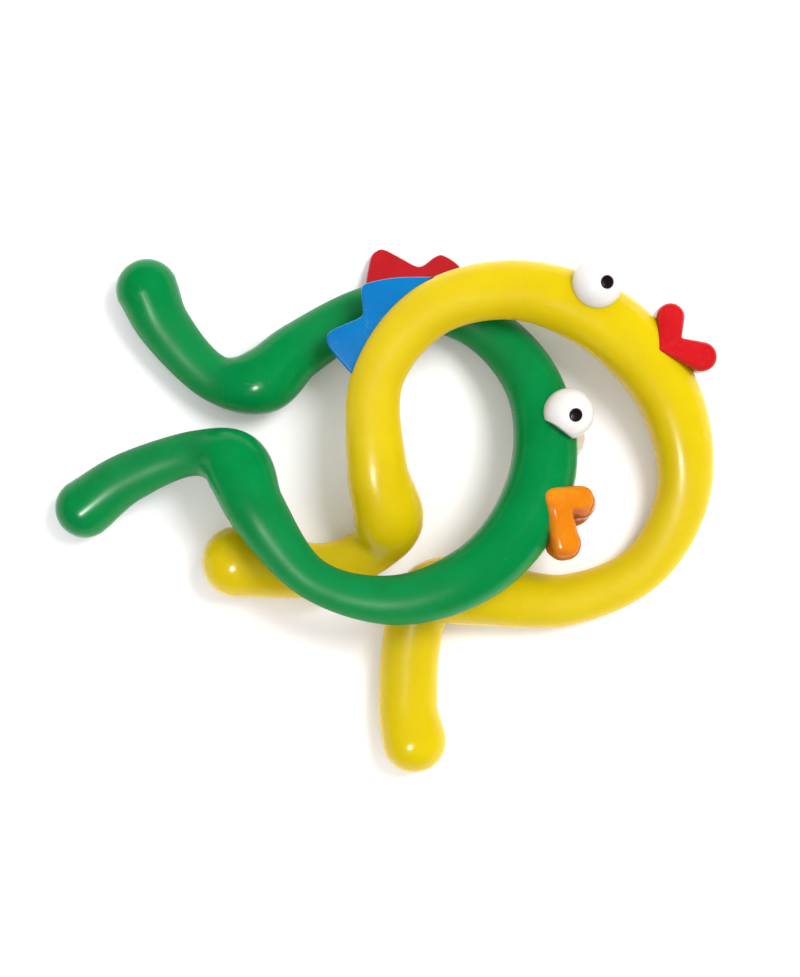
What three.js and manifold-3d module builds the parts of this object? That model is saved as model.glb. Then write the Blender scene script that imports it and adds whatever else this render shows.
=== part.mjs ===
// Twisty snake puzzle: two linked plastic figures that have to be worked apart.
// Each figure is a thick tube bent into a loop with two splayed legs, with ball
// eyes on both sides of the head, puckered lips and a flat crest on the back.
// Millimetres, +Z up. The lower (yellow) figure lies on the table; the upper
// (green) one is threaded once through it and leans across it.
import * as THREE from 'three';
import Module from 'manifold-3d';

const wasm = await Module();
wasm.setup();
const { Manifold, Mesh } = wasm;

// ---------------------------------------------------------------- dimensions
const TUBE_RADIUS = 7.0;     // outside radius of the tube where it is slim
const WALL = 2.2;            // thickness of the moulded half shells
const CROSSING_GAP = 1.9;    // free height where one figure's tube lies over the other's
const SEAM_GAP = 0.3;        // gap left where the two half shells are welded
const FIT_GAP = 0.3;         // gap round every fitted piece
const EYE_RADIUS = 6.8;
const EYE_SPACE = 2.2;       // clear space between the front eye and the back eye
const EYE_PEG_RADIUS = 2.0;
const PUPIL_RADIUS = 1.65;
const PUPIL_DEPTH = 1.8;     // how deep the pupil pin sits in the ball
const PUPIL_DOME = 0.45;     // how far it stands out of the ball
const LIP_EDGE = 1.9;        // rounding of the lips' edges
const LIP_EDGE_STEPS = 4;
const LIP_TIP_SHARE = 0.25;  // least radius of a rounded post's end, as a part of its own
const LIP_PEG_RADIUS = 2.4;
const CREST_THICKNESS = 2.6;
const CREST_TAB_DEPTH = 3.4; // how deep its tab reaches in from the side of the tube
const CREST_TAB_SHARE = 0.45; // length of the tab as a share of the crest's
const CREST_TAB_BACK = 2;    // how far the tab's middle sits behind the crest's
const CREST_ROOT_SHARE = 0.6; // how deep the crest's blank reaches, as a part of the tube
const PEG_BEYOND = 1.0;      // how far pegs stand out of the inside of the wall
const PEG_OVERLAP = 3;       // how far pegs run on inside the piece they belong to

const RING_STEP = 6.0;       // longest step between tube sections
const RING_TURN = 15;        // sharpest turn between tube sections, degrees
const OUTER_SIDES = 8;       // facets round half of the outer surface
const INNER_SIDES = 5;       // facets round half of the bore
const CAP_RINGS = 4;         // sections in each rounded leg end
const BEND_LIMIT = 0.95;     // reach into a tight knee, as a part of its bend radius
const FOLD_ROOM = 0.15;      // least step between sections on the inside of a knee
const FOLD_LOOK = 6;         // sections compared on either side when a knee is opened
const FOLD_PASSES = 80;
const FOLD_EASE = 0.97;      // part of its reach a folding section keeps in one pass
const FINE_STEPS = 40;       // places tried between two stations
const BEND_SPAN = 3;         // fine places on either side used to measure the bend
const CURVE_STEP = 0.02;     // smallest step along the curve, one station being 1

const EYE_SIDES = 28;
const PIN_SIDES = 20;
const PEG_SIDES = 16;
const DOME_SIDES = 40;
const LIP_SIDES = 18;
const CREST_STEPS = 4;       // points of a crest's edge for each point of its outline

// One storey: a tube that lies across another tube is this much higher.
const STOREY = 2 * TUBE_RADIUS + CROSSING_GAP;

// The loop is an arc of an ellipse (angles in degrees, anticlockwise from its own
// long axis). At even steps along it, storey says how many tubes it lies above
// (0 is on the table) and swell how much stouter than TUBE_RADIUS it is.
// A leg is four stations [x, y, storey, swell] from its end to its knee, with
// x and y from the loop's centre. Lips are drawn from four circles [out, forward,
// radius, half of the depth]: a corner on the snout, the crotch and two tips.
const YELLOW = {
  name: 'yellow',
  colour: 0xecd719,
  lean: [0, 0],                // tilt of the figure's plane and where it leans to, degrees
  loop: {
    centre: [34.8, 11.1], halfLong: 38.9, halfWide: 45.3, axis: 49.3, from: 143.1, to: -129.3,
    storey: [0.90, 1.06, 1.06, 0.92, 0.60, 0.26, 0.09, 0.05, 0.04],
    swell: [1.0, -0.1, 0.3, 1.0, 2.3, 1.7, 0.3, -0.5, -0.1],
  },
  firstLeg: [[-78.9, -31.1, 0, 2.6], [-54.8, -33.2, 0.03, 0.1], [-41.5, -26.8, 0.22, -0.1],
    [-38.0, -20.2, 0.36, 2.3]],
  secondLeg: [[-30.9, -79.8, 0, 1.6], [-32.6, -70.4, 0, 1.0], [-29.8, -45.1, 0, 1.1],
    [-24.7, -39.6, 0, 2.3]],
  eyeAt: [14.3, 37.1],         // place on the loop, from its centre
  eyeOut: 7.1,                 // eye centre outward of the tube's centreline
  eyeCut: null,
  gaze: [0.33, -0.04, 0.94],   // direction in which the front pupil looks
  lipsAt: [31.6, 23.0],
  lips: [[4.0, 0.1, 0.8, 9.2], [9.9, -1.2, 0.4, 8.6], [11.8, 4.9, 3.8, 7.4], [11.5, -8.6, 4.0, 7.4]],
  lipsColour: 0xe41e26,
  crestAt: [-37.8, 31.9],
  crestColour: 0x0078c3,
  // crest outline: [along the tube, height above its side]
  crest: [
    [-16.3, -3.5], [-14.9, 5.0], [-13.3, 7.9], [-10.6, 8.2], [-3.7, 4.9],
    [-1.6, 5.1], [2.4, 8.9], [5.0, 9.0], [11.1, 4.0], [17.6, -3.5],
  ],
};
const GREEN = {
  name: 'green',
  colour: 0x018a44,
  lean: [24, 77.7],
  loop: {
    centre: [-0.6, 10.0], halfLong: 38.4, halfWide: 41.0, axis: -45.3, from: 179.9, to: -113.2,
    storey: [0.06, 0.09, 0.10, 0.37, 0.71, 1.11, 1.34, 1.31, 1.10],
    swell: [0.8, -0.4, -0.4, 0.8, 1.9, 1.3, -0.2, -1.4, 0.8],
  },
  firstLeg: [[-68.1, 43.9, 0.02, 1.4], [-63.6, 34.3, 0.06, 0.3], [-49.4, 19.7, 0.10, -0.5],
    [-37.2, 18.9, 0.10, 2.0]],
  secondLeg: [[-85.0, -15.4, 0.01, 1.1], [-73.5, -7.4, 0.30, -0.1], [-53.5, -0.6, 0.70, -0.8],
    [-43.7, -3.5, 0.78, 2.0]],
  eyeAt: [39.2, 6.6],
  eyeOut: 5.4,
  // flat on the ball where the cheek meets it: direction [out, ahead, up], distance
  eyeCut: [-0.61, 0.74, -0.27, 5.1],
  gaze: [0.24, -0.09, 0.97],
  lipsAt: [36.3, -13.8],
  lips: [[4.1, 0.2, 2.7, 9.2], [10.0, -0.6, 0.6, 6.8], [12.1, 4.1, 3.6, 6.8], [11.9, -8.4, 4.0, 4.4]],
  lipsColour: 0xf7961e,
  crestAt: [2.7, 44.1],
  crestColour: 0xcd2026,
  crest: [
    [-11.8, -3.5], [-10.3, 7.0], [-8.5, 9.9], [-6.3, 10.2], [-2.1, 7.9], [2.0, 5.5],
    [4.2, 5.6], [7.5, 8.4], [10.0, 8.8], [14.6, 5.1], [19.5, -3.5],
  ],
};

// ------------------------------------------------------------------ geometry
const rad = THREE.MathUtils.degToRad;

/** Stations of a figure's centreline from the first leg's end to the second's. */
function stationsOf(figure) {
  const { centre, halfLong, halfWide, axis, from, to, storey, swell } = figure.loop;
  const steps = storey.length - 1;
  const loop = storey.map((level, i) => {
    const angle = rad(from + (to - from) * i / steps);
    const along = halfLong * Math.cos(angle);
    const across = halfWide * Math.sin(angle);
    const x = along * Math.cos(rad(axis)) - across * Math.sin(rad(axis));
    const y = along * Math.sin(rad(axis)) + across * Math.cos(rad(axis));
    return [x, y, level, swell[i]];
  });
  const rows = [...figure.firstLeg, ...loop, ...[...figure.secondLeg].reverse()];
  return rows.map(([x, y, level, extra]) => {
    const radius = TUBE_RADIUS + extra;
    return new THREE.Vector4(centre[0] + x, centre[1] + y, radius + level * STOREY, radius);
  });
}

/** Smooth curve through the stations (centripetal Catmull-Rom), with its radius. */
function curveAt(stations, t) {
  const last = stations.length - 1;
  const i = Math.min(Math.floor(t), last - 1);
  const w = t - i;
  const p1 = stations[i];
  const p2 = stations[i + 1];
  const p0 = i > 0 ? stations[i - 1] : p1.clone().multiplyScalar(2).sub(p2);
  const p3 = i + 2 <= last ? stations[i + 2] : p2.clone().multiplyScalar(2).sub(p1);
  const knot = (a, b) => Math.sqrt(Math.hypot(a.x - b.x, a.y - b.y, a.z - b.z));
  const d0 = knot(p0, p1);
  const d1 = knot(p1, p2);
  const d2 = knot(p2, p3);
  const blend = (key) => {
    const before = (p1[key] - p0[key]) / d0 - (p2[key] - p0[key]) / (d0 + d1);
    const after = (p3[key] - p2[key]) / d2 - (p3[key] - p1[key]) / (d1 + d2);
    const middle = (p2[key] - p1[key]) / d1;
    const m1 = (before + middle) * d1;
    const m2 = (after + middle) * d1;
    const cubic = 2 * p1[key] - 2 * p2[key] + m1 + m2;
    const square = 3 * p2[key] - 3 * p1[key] - 2 * m1 - m2;
    return p1[key] + w * (m1 + w * (square + w * cubic));
  };
  return { point: new THREE.Vector3(blend('x'), blend('y'), blend('z')), radius: blend('w') };
}

/** Direction square to the figure's own plane. */
function normalOf(figure) {
  const [tilt, towards] = figure.lean.map(rad);
  const flat = Math.sin(tilt);
  return new THREE.Vector3(flat * Math.cos(towards), flat * Math.sin(towards), Math.cos(tilt));
}

/** Position, travel direction, outward and upward directions at one place. */
function frameAt(figure, stations, t) {
  const last = stations.length - 1;
  const here = curveAt(stations, t);
  const before = curveAt(stations, Math.max(0, t - CURVE_STEP));
  const after = curveAt(stations, Math.min(last, t + CURVE_STEP));
  const ahead = after.point.clone().sub(before.point).normalize();
  const up = normalOf(figure);
  up.addScaledVector(ahead, -up.dot(ahead)).normalize();
  const out = new THREE.Vector3().crossVectors(up, ahead);
  return { ...here, ahead, up, out };
}

/** Tube sections, closer together where the tube bends. */
function sectionsOf(figure) {
  const stations = stationsOf(figure);
  const last = stations.length - 1;
  const fine = [];
  for (let k = 0; k <= last * FINE_STEPS; k += 1) {
    fine.push(frameAt(figure, stations, k / FINE_STEPS));
  }
  fine.forEach((f, k) => {
    const a = fine[Math.max(0, k - BEND_SPAN)];
    const b = fine[Math.min(fine.length - 1, k + BEND_SPAN)];
    const length = a.point.distanceTo(b.point);
    f.bend = b.ahead.clone().sub(a.ahead).divideScalar(length);
  });
  const rings = [fine[0]];
  let run = 0;
  for (let k = 1; k < fine.length; k += 1) {
    const step = fine[k].point.distanceTo(fine[k - 1].point);
    const turn = fine[k].ahead.angleTo(fine[k - 1].ahead);
    run += Math.hypot(step / RING_STEP, turn / rad(RING_TURN));
    if (run >= 1 && k < fine.length - 2 * BEND_SPAN) {
      rings.push(fine[k]);
      run = 0;
    }
  }
  rings.push(fine[fine.length - 1]);
  openKnees(rings);
  return rings;
}

/** Sets how far each section may reach into its bend without folding over the next. */
function openKnees(rings) {
  rings.forEach((ring) => {
    const bend = ring.bend.length();
    ring.inward = ring.bend.clone().divideScalar(Math.max(bend, 1e-9));
    ring.most = Math.min(3 * ring.radius, BEND_LIMIT / Math.max(bend, 1e-9));
  });
  const near = rings.map((_, k) => rings.slice(Math.max(0, k - FOLD_LOOK), k + FOLD_LOOK + 1));
  for (let pass = 0; pass < FOLD_PASSES; pass += 1) {
    rings.forEach((ring, k) => {
      const reach = Math.min(ring.most, ring.radius);
      const inner = ring.point.clone().addScaledVector(ring.inward, reach);
      const folds = near[k].some((other) => {
        const order = rings.indexOf(other) - k;
        const past = inner.clone().sub(other.point).dot(other.ahead) * Math.sign(order);
        return past > -FOLD_ROOM * Math.abs(order) && order !== 0;
      });
      if (folds) ring.most = reach * FOLD_EASE;
    });
  }
}

/** The sections with the rounded leg ends added: shift moves a section along the tube. */
function cappedSections(figure) {
  const rings = sectionsOf(figure);
  const capped = [];
  for (let k = 0; k < CAP_RINGS; k += 1) {
    const angle = Math.PI / 2 * k / CAP_RINGS;
    capped.push({ ...rings[0], shift: -Math.cos(angle), part: Math.sin(angle) });
  }
  rings.forEach((ring) => capped.push({ ...ring, shift: 0, part: 1 }));
  for (let k = CAP_RINGS - 1; k >= 0; k -= 1) {
    const angle = Math.PI / 2 * k / CAP_RINGS;
    const end = rings[rings.length - 1];
    capped.push({ ...end, shift: Math.cos(angle), part: Math.sin(angle) });
  }
  return capped;
}

/** A point on a section at an angle from the outward side towards the top. */
function pointOn(ring, angle, change) {
  const side = ring.out.clone().multiplyScalar(Math.cos(angle));
  side.addScaledVector(ring.up, Math.sin(angle));
  const inward = ring.inward.dot(side);
  const most = inward > 1e-6 ? ring.most / inward : Infinity;
  const reach = (Math.min(ring.radius, most) + change) * ring.part;
  const place = ring.point.clone().addScaledVector(side, reach);
  return place.addScaledVector(ring.ahead, ring.shift * (ring.radius + change));
}

/** Turns closed rows of points into a solid; rows of one point are the poles. */
function solidFromRows(rows) {
  const positions = [];
  const index = rows.map((row) => {
    const same = row.pole;
    const start = positions.length / 3;
    const kept = same ? [row.points[0], ...row.poleExtra] : row.points;
    kept.forEach((p) => positions.push(p.x, p.y, p.z));
    return row.points.map((_, j) => start + (same ? row.poleMap[j] : j));
  });
  const triangles = [];
  const add = (a, b, c) => {
    if (a !== b && b !== c && c !== a) triangles.push(a, b, c);
  };
  for (let k = 0; k + 1 < index.length; k += 1) {
    const size = index[k].length;
    for (let j = 0; j < size; j += 1) {
      const n = (j + 1) % size;
      add(index[k][j], index[k][n], index[k + 1][j]);
      add(index[k][n], index[k + 1][n], index[k + 1][j]);
    }
  }
  const build = (list) => new Manifold(new Mesh({
    numProp: 3,
    vertProperties: Float32Array.from(positions),
    triVerts: Uint32Array.from(list),
  }));
  const solid = build(triangles);
  if (solid.volume() > 0) return solid;
  for (let k = 0; k < triangles.length; k += 3) {
    [triangles[k + 1], triangles[k + 2]] = [triangles[k + 2], triangles[k + 1]];
  }
  return build(triangles);
}

/** The whole tube as one solid, grown or shrunk by change. */
function tubeSolid(sections, change) {
  const sides = OUTER_SIDES * 2;
  const rows = sections.map((ring) => {
    const points = [];
    for (let j = 0; j < sides; j += 1) {
      points.push(pointOn(ring, 2 * Math.PI * j / sides, change));
    }
    const pole = ring.part < 1e-6;
    return { points, pole, poleExtra: [], poleMap: points.map(() => 0) };
  });
  return solidFromRows(rows);
}

/** One hollow half of the tube; half is +1 for the upper shell, -1 for the lower. */
function shellSolid(sections, half) {
  const rows = sections.map((ring) => {
    const points = [];
    for (let j = 0; j <= OUTER_SIDES; j += 1) {
      points.push(pointOn(ring, half * Math.PI * j / OUTER_SIDES, 0));
    }
    for (let j = INNER_SIDES; j >= 0; j -= 1) {
      points.push(pointOn(ring, half * Math.PI * j / INNER_SIDES, -WALL));
    }
    points.forEach((p) => p.addScaledVector(ring.up, half * SEAM_GAP / 2));
    const pole = ring.part < 1e-6;
    const poleMap = points.map((_, j) => (j <= OUTER_SIDES ? 0 : 1));
    return { points, pole, poleExtra: [points[OUTER_SIDES + 1]], poleMap };
  });
  return solidFromRows(rows);
}

/** Where the centreline runs closest to a place given from the loop's centre. */
function nearest(figure, place) {
  const { firstLeg, secondLeg } = figure;
  const stations = stationsOf(figure);
  const x = figure.loop.centre[0] + place[0];
  const y = figure.loop.centre[1] + place[1];
  let best = null;
  for (let t = firstLeg.length; t <= stations.length - 1 - secondLeg.length; t += CURVE_STEP) {
    const frame = frameAt(figure, stations, t);
    const away = Math.hypot(frame.point.x - x, frame.point.y - y);
    if (!best || away < best.away) best = { ...frame, away };
  }
  return best;
}

/** Moves a solid built on x, y, z onto three directions at an origin. */
function placed(solid, origin, x, y, z) {
  return solid.transform([
    x.x, x.y, x.z, 0,
    y.x, y.y, y.z, 0,
    z.x, z.y, z.z, 0,
    origin.x, origin.y, origin.z, 1,
  ]);
}

/** A round bar from one point to another. */
function bar(from, to, radius, sides = PIN_SIDES) {
  const along = to.clone().sub(from);
  const length = along.length();
  along.normalize();
  const helper = Math.abs(along.z) < 0.9 ? new THREE.Vector3(0, 0, 1) : new THREE.Vector3(1, 0, 0);
  const x = new THREE.Vector3().crossVectors(helper, along).normalize();
  const y = new THREE.Vector3().crossVectors(along, x);
  return placed(Manifold.cylinder(length, radius, radius, sides, false), from, x, y, along);
}

/** Eye ball, its peg and its pupil on one side of the head (side is +1 or -1). */
function eyeOf(figure, frame, clearTube, side) {
  const centre = frame.point.clone();
  centre.addScaledVector(frame.out, figure.eyeOut);
  centre.addScaledVector(frame.up, side * (EYE_RADIUS + EYE_SPACE / 2));
  const toAxis = frame.point.clone().sub(centre);
  const distance = toAxis.length();
  toAxis.normalize();
  const pegEnd = centre.clone().addScaledVector(toAxis, distance - frame.radius + WALL + PEG_BEYOND);
  const ball = Manifold.sphere(EYE_RADIUS, EYE_SIDES).translate([centre.x, centre.y, centre.z]);
  const peg = bar(centre, pegEnd, EYE_PEG_RADIUS, PEG_SIDES);
  const holeEnd = pegEnd.clone().addScaledVector(toAxis, PEG_OVERLAP);
  const hole = bar(centre, holeEnd, EYE_PEG_RADIUS + FIT_GAP, PEG_SIDES);
  const gaze = new THREE.Vector3(...figure.gaze).normalize();
  const normal = normalOf(figure);
  if (side < 0) gaze.addScaledVector(normal, -2 * gaze.dot(normal));
  const floorAt = centre.clone().addScaledVector(gaze, EYE_RADIUS - PUPIL_DEPTH);
  const pastBall = centre.clone().addScaledVector(gaze, EYE_RADIUS + 2 * PUPIL_DOME);
  const socketFloor = floorAt.clone().addScaledVector(gaze, -FIT_GAP);
  const socket = bar(socketFloor, pastBall, PUPIL_RADIUS + FIT_GAP);
  const dome = Manifold.sphere(EYE_RADIUS + PUPIL_DOME, DOME_SIDES)
    .translate([centre.x, centre.y, centre.z]);
  return {
    ball: cutFlat(ball.subtract(clearTube), figure, frame, centre, side).add(peg).subtract(socket),
    pupil: bar(floorAt, pastBall, PUPIL_RADIUS).intersect(dome),
    hole,
  };
}

/** Takes the flat off a front eye ball on its side towards the cheek. */
function cutFlat(ball, figure, frame, centre, side) {
  if (!figure.eyeCut || side < 0) return ball;
  const [out, ahead, up, distance] = figure.eyeCut;
  const away = frame.out.clone().multiplyScalar(out);
  away.addScaledVector(frame.ahead, ahead).addScaledVector(frame.up, up).normalize();
  return ball.trimByPlane([-away.x, -away.y, -away.z], -away.dot(centre) - distance);
}

/** A frame turned to stand square to the figure's own plane. */
function levelled(figure, frame) {
  const up = normalOf(figure);
  const out = frame.out.clone().addScaledVector(up, -frame.out.dot(up)).normalize();
  return { ...frame, up, out, ahead: new THREE.Vector3().crossVectors(out, up) };
}

/** One rounded lobe of the lips: the hull of upright rounded posts [x, y, radius, half]. */
function lobe(posts) {
  const stack = [];
  posts.forEach(([x, y, radius, half]) => {
    for (let k = 0; k <= LIP_EDGE_STEPS; k += 1) {
      const angle = Math.PI / 2 * k / LIP_EDGE_STEPS;
      const r = Math.max(radius - LIP_EDGE * (1 - Math.cos(angle)), radius * LIP_TIP_SHARE);
      const z = half - LIP_EDGE * (1 - Math.sin(angle));
      stack.push(Manifold.cylinder(2 * z, r, r, LIP_SIDES, true).translate([x, y, 0]));
    }
  });
  return Manifold.hull(stack);
}

/** Puckered lips: two lobes meeting on the head, notched to sit over the tube. */
function lipsOf(figure, frame, clearTube) {
  const [corner, crotch, near, far] = figure.lips;
  const pair = lobe([corner, crotch, near]).add(lobe([corner, crotch, far]));
  const forward = frame.ahead.clone().negate();
  const solid = placed(pair, frame.point, frame.out, forward, frame.up);
  const pegFrom = frame.point.clone().addScaledVector(frame.out, frame.radius - WALL - PEG_BEYOND);
  const pegTo = frame.point.clone().addScaledVector(frame.out, frame.radius + PEG_OVERLAP);
  const holeFrom = pegFrom.clone().addScaledVector(frame.out, -FIT_GAP - PEG_BEYOND);
  return {
    lips: solid.subtract(clearTube).add(bar(pegFrom, pegTo, LIP_PEG_RADIUS)),
    hole: bar(holeFrom, pegTo, LIP_PEG_RADIUS + FIT_GAP),
  };
}

/** A flat plate with a smooth outline, in the plane of the figure. */
function plate(outline, thickness) {
  const cross = new wasm.CrossSection([outline], 'Positive');
  return cross.extrude(thickness, 0, 0, [1, 1], true);
}

/** Crest outline as a smooth run over its peaks and valleys, closed inside the tube. */
function crestOutline(crest, root) {
  const curve = new THREE.SplineCurve(crest.map(([x, y]) => new THREE.Vector2(x, y)));
  const points = curve.getPoints((crest.length - 1) * CREST_STEPS).map((p) => [p.x, p.y]);
  const [firstX] = crest[0];
  const [lastX] = crest[crest.length - 1];
  return [[lastX, root], [firstX, root], ...points].reverse();
}

/** Crest with a narrower tab that is caught in a slot along the seam. */
function crestOf(figure, frame, clearTube) {
  const { crest } = figure;
  const first = crest[0][0];
  const last = crest[crest.length - 1][0];
  const origin = frame.point.clone().addScaledVector(frame.out, frame.radius);
  const onTube = (solid) => placed(solid, origin, frame.ahead, frame.out, frame.up);
  const body = onTube(plate(crestOutline(crest, -frame.radius * CREST_ROOT_SHARE), CREST_THICKNESS));
  const tabHalf = (last - first) / 2 * CREST_TAB_SHARE;
  const middle = (first + last) / 2 - CREST_TAB_BACK;
  const box = (grow) => {
    const left = middle - tabHalf - grow;
    const right = middle + tabHalf + grow;
    const bottom = -CREST_TAB_DEPTH - grow;
    return [[left, bottom], [right, bottom], [right, PEG_OVERLAP], [left, PEG_OVERLAP]];
  };
  const tab = onTube(plate(box(0), CREST_THICKNESS));
  return {
    crest: body.subtract(clearTube).add(tab),
    slot: onTube(plate(box(FIT_GAP), CREST_THICKNESS + 2 * FIT_GAP)),
  };
}

// ------------------------------------------------------------------- meshes
function material(colour, roughness) {
  return new THREE.MeshStandardMaterial({ color: colour, roughness, metalness: 0 });
}

/** Largest connected body of a solid as a named mesh. */
function meshOf(solid, name, mat, shift) {
  const bodies = solid.decompose();
  const largest = bodies.reduce((a, b) => (b.volume() > a.volume() ? b : a));
  const data = largest.translate([-shift.x, -shift.y, -shift.z]).getMesh();
  const geometry = new THREE.BufferGeometry();
  const positions = new Float32Array(data.numVert * 3);
  for (let v = 0; v < data.numVert; v += 1) {
    positions.set(data.vertProperties.slice(v * data.numProp, v * data.numProp + 3), v * 3);
  }
  geometry.setAttribute('position', new THREE.BufferAttribute(positions, 3));
  geometry.setIndex(new THREE.BufferAttribute(Uint32Array.from(data.triVerts), 1));
  geometry.computeVertexNormals();
  const mesh = new THREE.Mesh(geometry, mat);
  mesh.name = name;
  return mesh;
}

/** Every solid of one figure, keyed by name. */
function figureSolids(figure) {
  const sections = cappedSections(figure);
  const clearTube = tubeSolid(sections, FIT_GAP + SEAM_GAP / 2);
  const head = levelled(figure, nearest(figure, figure.eyeAt));
  const mouth = levelled(figure, nearest(figure, figure.lipsAt));
  const back = nearest(figure, figure.crestAt);
  const front = eyeOf(figure, head, clearTube, 1);
  const rear = eyeOf(figure, head, clearTube, -1);
  const { lips, hole } = lipsOf(figure, mouth, clearTube);
  const { crest, slot } = crestOf(figure, back, clearTube);
  const shell = (half, eyeHole) => shellSolid(sections, half)
    .subtract(hole).subtract(slot).subtract(eyeHole);
  const body = material(figure.colour, 0.32);
  const white = material(0xece8e2, 0.3);
  const black = material(0x14080a, 0.25);
  return [
    ['upper_shell', shell(1, front.hole), body],
    ['lower_shell', shell(-1, rear.hole), body],
    ['front_eye', front.ball, white],
    ['back_eye', rear.ball, white],
    ['front_pupil', front.pupil, black],
    ['back_pupil', rear.pupil, black],
    ['lips', lips, material(figure.lipsColour, 0.3)],
    ['crest', crest, material(figure.crestColour, 0.35)],
  ].map(([part, solid, mat]) => [`${figure.name}_${part}`, solid, mat]);
}

const solids = [...figureSolids(YELLOW), ...figureSolids(GREEN)];

// Origin: middle of the bounding box in plan, on the table.
const low = new THREE.Vector3(Infinity, Infinity, Infinity);
const high = new THREE.Vector3(-Infinity, -Infinity, -Infinity);
solids.forEach(([, solid]) => {
  const box = solid.boundingBox();
  low.min(new THREE.Vector3(...box.min));
  high.max(new THREE.Vector3(...box.max));
});
const origin = new THREE.Vector3((low.x + high.x) / 2, (low.y + high.y) / 2, low.z);

const puzzle = new THREE.Group();
puzzle.name = 'twisty_snake_puzzle';
solids.forEach(([name, solid, mat]) => puzzle.add(meshOf(solid, name, mat, origin)));

export default puzzle;
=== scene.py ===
# %% [markdown]
# # Twisty snake puzzle
#
# Two plastic creatures are threaded through each other on a table. Each one is a single
# thick tube: a splayed leg, a big loop that is the body and head, and a second leg. Ball
# eyes sit on both sides of the head, lips pucker from the front, and a flat two-peaked
# crest stands on the back. This script dresses the CAD frame with finished surfaces.

import math

import bmesh
import bpy
import numpy as np
from mathutils import Matrix, Vector


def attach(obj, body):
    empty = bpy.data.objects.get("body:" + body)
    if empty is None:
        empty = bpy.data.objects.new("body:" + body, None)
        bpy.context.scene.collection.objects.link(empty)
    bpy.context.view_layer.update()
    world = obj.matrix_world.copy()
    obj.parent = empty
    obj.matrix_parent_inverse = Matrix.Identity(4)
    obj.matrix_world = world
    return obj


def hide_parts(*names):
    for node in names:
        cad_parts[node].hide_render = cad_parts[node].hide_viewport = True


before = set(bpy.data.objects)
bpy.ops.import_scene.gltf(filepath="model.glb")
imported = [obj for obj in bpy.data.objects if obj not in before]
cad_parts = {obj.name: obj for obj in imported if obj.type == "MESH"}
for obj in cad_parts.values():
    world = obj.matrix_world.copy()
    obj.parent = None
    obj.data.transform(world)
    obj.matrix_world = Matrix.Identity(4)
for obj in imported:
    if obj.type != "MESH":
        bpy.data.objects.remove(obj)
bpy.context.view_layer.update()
MM = 0.001

# %% [markdown]
# ## The sizes
#
# The same sizes drove the CAD: a slim tube 14 mm thick that swells at the knees, and a
# "storey", the height one tube gains by lying across another. A loop is an arc of an
# ellipse, and a leg is four stations of x, y, storey and swell from its end to its knee.
# Keeping the rule rather than a finished shape means that the smooth skin and the CAD
# solids come out of one set of numbers.

# %% Sizes in millimetres
TUBE_RADIUS = 7.0
STOREY = 2 * TUBE_RADIUS + 1.9
TO_FRAME = np.array([4.2833, 5.7177, 0.1499])  # from the sketch's zero to the frame's
EYE_RADIUS = 6.8
EYE_STAND = 7.9  # eye centre above or below the tube's mid-plane
PUPIL_RADIUS = 1.65
CREST_THICKNESS = 2.6
SEAT = 0.3  # how far fitted pieces settle into the tube's skin

YELLOW = {
    "name": "yellow",
    "lean": (0, 0),
    "centre": (34.8, 11.1),
    "half_long": 38.9,
    "half_wide": 45.3,
    "axis": 49.3,
    "turn": (143.1, -129.3),
    "storey": (0.90, 1.06, 1.06, 0.92, 0.60, 0.26, 0.09, 0.05, 0.04),
    "swell": (1.0, -0.1, 0.3, 1.0, 2.3, 1.7, 0.3, -0.5, -0.1),
    "first_leg": [(-78.9, -31.1, 0, 2.6), (-54.8, -33.2, 0.03, 0.1), (-41.5, -26.8, 0.22, -0.1),
                  (-38.0, -20.2, 0.36, 2.3)],
    "second_leg": [(-30.9, -79.8, 0, 1.6), (-32.6, -70.4, 0, 1.0), (-29.8, -45.1, 0, 1.1),
                   (-24.7, -39.6, 0, 2.3)],
    "eye_at": (14.3, 37.1),
    "eye_out": 7.1,
    "eye_cut": None,
    "gaze": (0.33, -0.04, 0.94),
    "lips_at": (31.6, 23.0),
    "lips": [(4.0, 0.1, 0.8, 9.2), (9.9, -1.2, 0.4, 8.6), (11.8, 4.9, 3.8, 7.4),
             (11.5, -8.6, 4.0, 7.4)],
    "crest_at": (-37.8, 31.9),
    "crest": [(-16.3, -3.5), (-14.9, 5.0), (-13.3, 7.9), (-10.6, 8.2), (-3.7, 4.9),
              (-1.6, 5.1), (2.4, 8.9), (5.0, 9.0), (11.1, 4.0), (17.6, -3.5)],
}
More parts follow.
